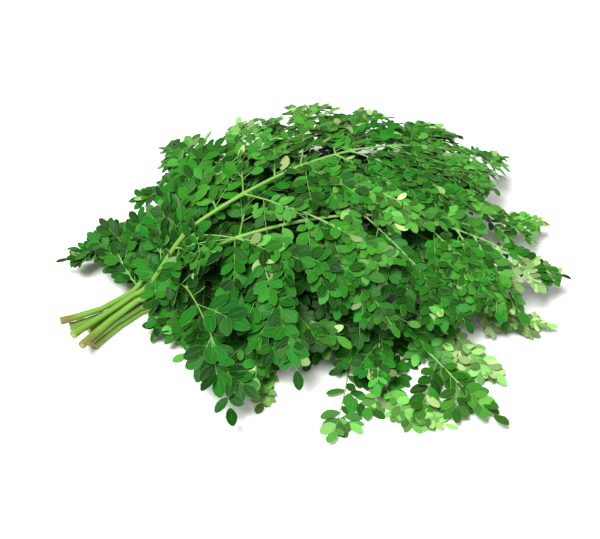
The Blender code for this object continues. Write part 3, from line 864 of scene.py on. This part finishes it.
leafFinish = dict(
    # yellow, young, fresh, mature, old
    upperAges=((0.0, "#98a02c"), (0.08, "#6f9f52"), (0.38, "#478932"), (0.70, "#1a5b0f"), (1.0, "#103e07")),
    underAges=((0.0, "#8fa76a"), (1.0, "#6a8a50")),
    hueRange=(0.483, 0.517), toneRange=(0.36, 1.88),      # from leaflet to leaflet
    vein="#7cae5a",
    leafLength=20.0, veinSpacing=2.6, veinWidth=0.32,     # mm; a real side vein is finer and wouldn't show
    veinLean=0.28,
    veinMix=(0.07, 0.20),          # on the upper side and the underside
    midrib=(0.02, 0.08), midribMix=0.15,                  # shares of the half-width
    margin=(0.86, 1.0), marginMix=0.26,
    blotch=4.0, blotchEdges=(0.3, 0.7), blotchRange=(0.85, 1.15),         # mm
    bumpStrength=0.35, bumpHeight=0.0003,
    roughness=(0.48, 0.65),        # of the upper side and the underside
    ior=1.40, specular=0.12,
)
barkFinish = dict(
    greens=((0.0, "#6f9a33"), (0.45, "#6ca040"), (1.0, "#7caa62")),       # from the cut end to the tip
    browns=((0.0, "#8d7848"), (0.03, "#6a3f2a")),
    brownReach=0.06,               # share of the frond's length
    pith="#aab06c", pithEdges=(1.2, 1.6),
    streak="#6d6a34", streakCell=1.6, streakStretch=0.08, # mm; streaks about 1 mm wide and 12 mm long
    streakEdges=(0.50, 0.72), streakMix=0.55,
    streakFade=(0.05, 0.40), streakLeft=0.15,
    bumpStrength=0.4, bumpHeight=0.0004,
    roughness=0.45, ior=1.45, specular=0.35,
)


def leafBladeMaterial(name, upper):
    # Fresh moringa leaflet. Upper side: smooth, slightly waxy, so a soft broad sheen over deep green.
    # Underside: matt and grey-green, with the midrib standing out.
    finish = leafFinish
    face = 0 if upper else 1
    material, tree, shader = newMaterial(name)
    look = addNode(tree, "ShaderNodeAttribute", {"attribute_name": "leafLook"})
    place = addNode(tree, "ShaderNodeAttribute", {"attribute_name": "leafPlace"})
    looks = addNode(tree, "ShaderNodeSeparateXYZ", {}, [(0, look.outputs["Vector"])])
    places = addNode(tree, "ShaderNodeSeparateXYZ", {}, [(0, place.outputs["Vector"])])
    stops = finish["upperAges"] if upper else finish["underAges"]
    # the age also carries the painted shade of leaflets deep inside the heap
    ages = addNode(tree, "ShaderNodeValToRGB", {"stops": stops}, [(0, looks.outputs[0])])
    # each leaflet's own tone
    hue = addNode(tree, "ShaderNodeMapRange", {"To": finish["hueRange"]}, [("Value", looks.outputs[1])])
    value = addNode(tree, "ShaderNodeMapRange", {"To": finish["toneRange"]}, [("Value", looks.outputs[2])])
    toned = addNode(tree, "ShaderNodeHueSaturation", {},
                    [("Color", ages.outputs[0]), ("Hue", hue.outputs[0]), ("Value", value.outputs[0])])
    # midrib: a fine pale line; side veins, seven pairs, leaning forward; a thin pale edge
    side = addNode(tree, "ShaderNodeMath", {"operation": "ABSOLUTE"}, [(0, places.outputs[0])])
    midrib = addNode(tree, "ShaderNodeMapRange",
                     {"From": finish["midrib"], "To": (finish["midribMix"], 0)}, [("Value", side.outputs[0])])
    lean = addNode(tree, "ShaderNodeMath", {"operation": "MULTIPLY", 1: -finish["veinLean"]},
                   [(0, side.outputs[0])])
    phase = addNode(tree, "ShaderNodeMath", {"operation": "ADD"},
                    [(0, places.outputs[1]), (1, lean.outputs[0])])
    wave = addNode(tree, "ShaderNodeMath",
                   {"operation": "PINGPONG", 1: finish["veinSpacing"] / 2 / finish["leafLength"]},
                   [(0, phase.outputs[0])])
    fade = finish["veinWidth"] / finish["leafLength"]
    veins = addNode(tree, "ShaderNodeMapRange", {"From": (0, fade), "To": (finish["veinMix"][face], 0)},
                    [("Value", wave.outputs[0])])
    margin = addNode(tree, "ShaderNodeMapRange",
                     {"From": finish["margin"], "To": (0, finish["marginMix"])}, [("Value", side.outputs[0])])
    lines = addNode(tree, "ShaderNodeMath", {"operation": "MAXIMUM"},
                    [(0, midrib.outputs[0]), (1, veins.outputs[0])])
    lines = addNode(tree, "ShaderNodeMath", {"operation": "MAXIMUM"},
                    [(0, lines.outputs[0]), (1, margin.outputs[0])])
    # mottling
    spots = addNode(tree, "ShaderNodeTexNoise", {"Scale": 1000 / finish["blotch"], "Detail": 2.0})
    blotch = addNode(tree, "ShaderNodeMapRange", {"From": finish["blotchEdges"], "To": finish["blotchRange"]},
                     [("Value", spots.outputs[0])])
    mottled = addNode(tree, "ShaderNodeHueSaturation", {},
                      [("Color", toned.outputs[0]), ("Value", blotch.outputs[0])])
    veined = addNode(tree, "ShaderNodeMix", {"data_type": "RGBA", "B": linearColour(finish["vein"])},
                     [("Factor", lines.outputs[0]), ("A", mottled.outputs[0])])
    tree.links.new(veined.outputs["Result"], shader.inputs["Base Color"])
    bump = addNode(tree, "ShaderNodeBump",
                   {"Strength": finish["bumpStrength"], "Distance": finish["bumpHeight"], "invert": upper},
                   [("Height", lines.outputs[0])])
    tree.links.new(bump.outputs[0], shader.inputs["Normal"])
    shader.inputs["Roughness"].default_value = finish["roughness"][face]
    shader.inputs["IOR"].default_value = finish["ior"]
    shader.inputs["Specular IOR Level"].default_value = finish["specular"]
    return material


def stemMaterial():
    # Fresh green bark over soft wood: satin and streaked along the stem, brown where it was cut.
    finish = barkFinish
    material, tree, shader = newMaterial("freshMoringaStem")
    look = addNode(tree, "ShaderNodeAttribute", {"attribute_name": "stemLook"})
    place = addNode(tree, "ShaderNodeAttribute", {"attribute_name": "stemPlace"})
    looks = addNode(tree, "ShaderNodeSeparateXYZ", {}, [(0, look.outputs["Vector"])])
    green = addNode(tree, "ShaderNodeValToRGB", {"stops": finish["greens"]}, [(0, looks.outputs[0])])
    # brown at the cut, more on some stems than on others
    near = addNode(tree, "ShaderNodeMapRange", {"From": (0, finish["brownReach"]), "To": (1, 0)},
                   [("Value", looks.outputs[0])])
    browned = addNode(tree, "ShaderNodeMath", {"operation": "MULTIPLY"},
                      [(0, near.outputs[0]), (1, looks.outputs[2])])
    brown = addNode(tree, "ShaderNodeValToRGB", {"stops": finish["browns"]}, [(0, looks.outputs[0])])
    bark = addNode(tree, "ShaderNodeMix", {"data_type": "RGBA"},
                   [("Factor", browned.outputs[0]), ("A", green.outputs[0]), ("B", brown.outputs[0])])
    # streaks along the stem, strongest below
    stretched = addNode(tree, "ShaderNodeMapping", {"Scale": (1, 1, finish["streakStretch"])},
                        [("Vector", place.outputs["Vector"])])
    streaks = addNode(tree, "ShaderNodeTexNoise", {"Scale": 1000 / finish["streakCell"], "Detail": 2.0},
                      [("Vector", stretched.outputs[0])])
    streak = addNode(tree, "ShaderNodeMapRange",
                     {"From": finish["streakEdges"], "To": (0, finish["streakMix"])},
                     [("Value", streaks.outputs[0])])
    lower = addNode(tree, "ShaderNodeMapRange",
                    {"From": finish["streakFade"], "To": (1, finish["streakLeft"])},
                    [("Value", looks.outputs[0])])
    amount = addNode(tree, "ShaderNodeMath", {"operation": "MULTIPLY"},
                     [(0, streak.outputs[0]), (1, lower.outputs[0])])
    streaked = addNode(tree, "ShaderNodeMix", {"data_type": "RGBA", "B": linearColour(finish["streak"])},
                       [("Factor", amount.outputs[0]), ("A", bark.outputs["Result"])])
    pith = addNode(tree, "ShaderNodeMapRange", {"From": finish["pithEdges"]}, [("Value", looks.outputs[1])])
    whole = addNode(tree, "ShaderNodeMix", {"data_type": "RGBA", "B": linearColour(finish["pith"])},
                    [("Factor", pith.outputs[0]), ("A", streaked.outputs["Result"])])
    tree.links.new(whole.outputs["Result"], shader.inputs["Base Color"])
    bump = addNode(tree, "ShaderNodeBump",
                   {"Strength": finish["bumpStrength"], "Distance": finish["bumpHeight"]},
                   [("Height", streaks.outputs[0])])
    tree.links.new(bump.outputs[0], shader.inputs["Normal"])
    shader.inputs["Roughness"].default_value = finish["roughness"]
    shader.inputs["IOR"].default_value = finish["ior"]
    shader.inputs["Specular IOR Level"].default_value = finish["specular"]
    return material


bladeMaterials = (leafBladeMaterial("freshLeafletUpperSide", True),
                  leafBladeMaterial("freshLeafletUnderside", False))
barkMaterial = stemMaterial()
print("materials made")


# growing the fronds

extraSpray = dict(
    spread=(64, 70), spreadDraw=12,                       # to the right and left
    curl=(-0.3, 0.5),                                     # in radians
    bare=0.05,
    up=(0.1, 0.8),                 # how far up the frond it counts for its leaflets, at the waist and beyond
)


def extraPlans(frond, path):
    plans = []
    low, rest = extraSpray["up"]
    for s, hand, length, *spread in frond["extra"]:
        draw = random.Random("%s spray at %.3f" % (frond["name"], s))
        _, start, bearing = path[nearestOn(path, s)]
        spread = spread[0] if spread else extraSpray["spread"][hand > 0]
        spread += draw.uniform(-1, 1) * extraSpray["spreadDraw"]
        plans.append((start, bearing + hand * math.radians(spread), -hand * draw.uniform(*extraSpray["curl"]),
                      length, low + rest * s / path[-1][0], 0))
    return plans


def dressFrond(layer, frond):
    name = frond["name"]
    path = stemPath(layer, frond)
    tubes = newTubes()
    addStem(tubes, frond, path)
    blades, sprays = dict(frond=frond, rows=[]), dict(frond=frond, rows=[])
    for index, plan in enumerate(pinnaPlan(layer, frond, path)):
        own = frond["own"].get(index, {})
        addPinna(blades, tubes, layer, frond, own, plan, random.Random(name + " pinna %d" % index))
    for index, plan in enumerate(extraPlans(frond, path)):
        own = dict(bare=extraSpray["bare"])
        addPinna(sprays, tubes, layer, frond, own, plan, random.Random(name + " spray %d" % index))
    looks = [(share, kind, frond["cutTone"]) for share, kind in tubes["look"]]
    ribs = buildObject(name + "_stem", [tuple(p) for p in tubes["points"]], tubes["faces"], [barkMaterial],
                       [0] * len(tubes["faces"]), {"stemLook": looks, "stemPlace": tubes["place"]},
                       stem["sharpAngle"])
    pieces = [ribs, leafletPiece(name + "_leaflets", blades["rows"], bladeMaterials)]
    if sprays["rows"]:
        pieces.append(leafletPiece(name + "_sprays", sprays["rows"], bladeMaterials))
    for piece in pieces:
        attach(piece, "root")
        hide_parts(frond["name"])
    count = len(blades["rows"]) + len(sprays["rows"])
    print(name, "dressed:", count, "leaflets")
    return count


total = sum(dressFrond(layer, frond) for layer, frond in enumerate(fronds))
print("bunch dressed:", total, "leaflets")
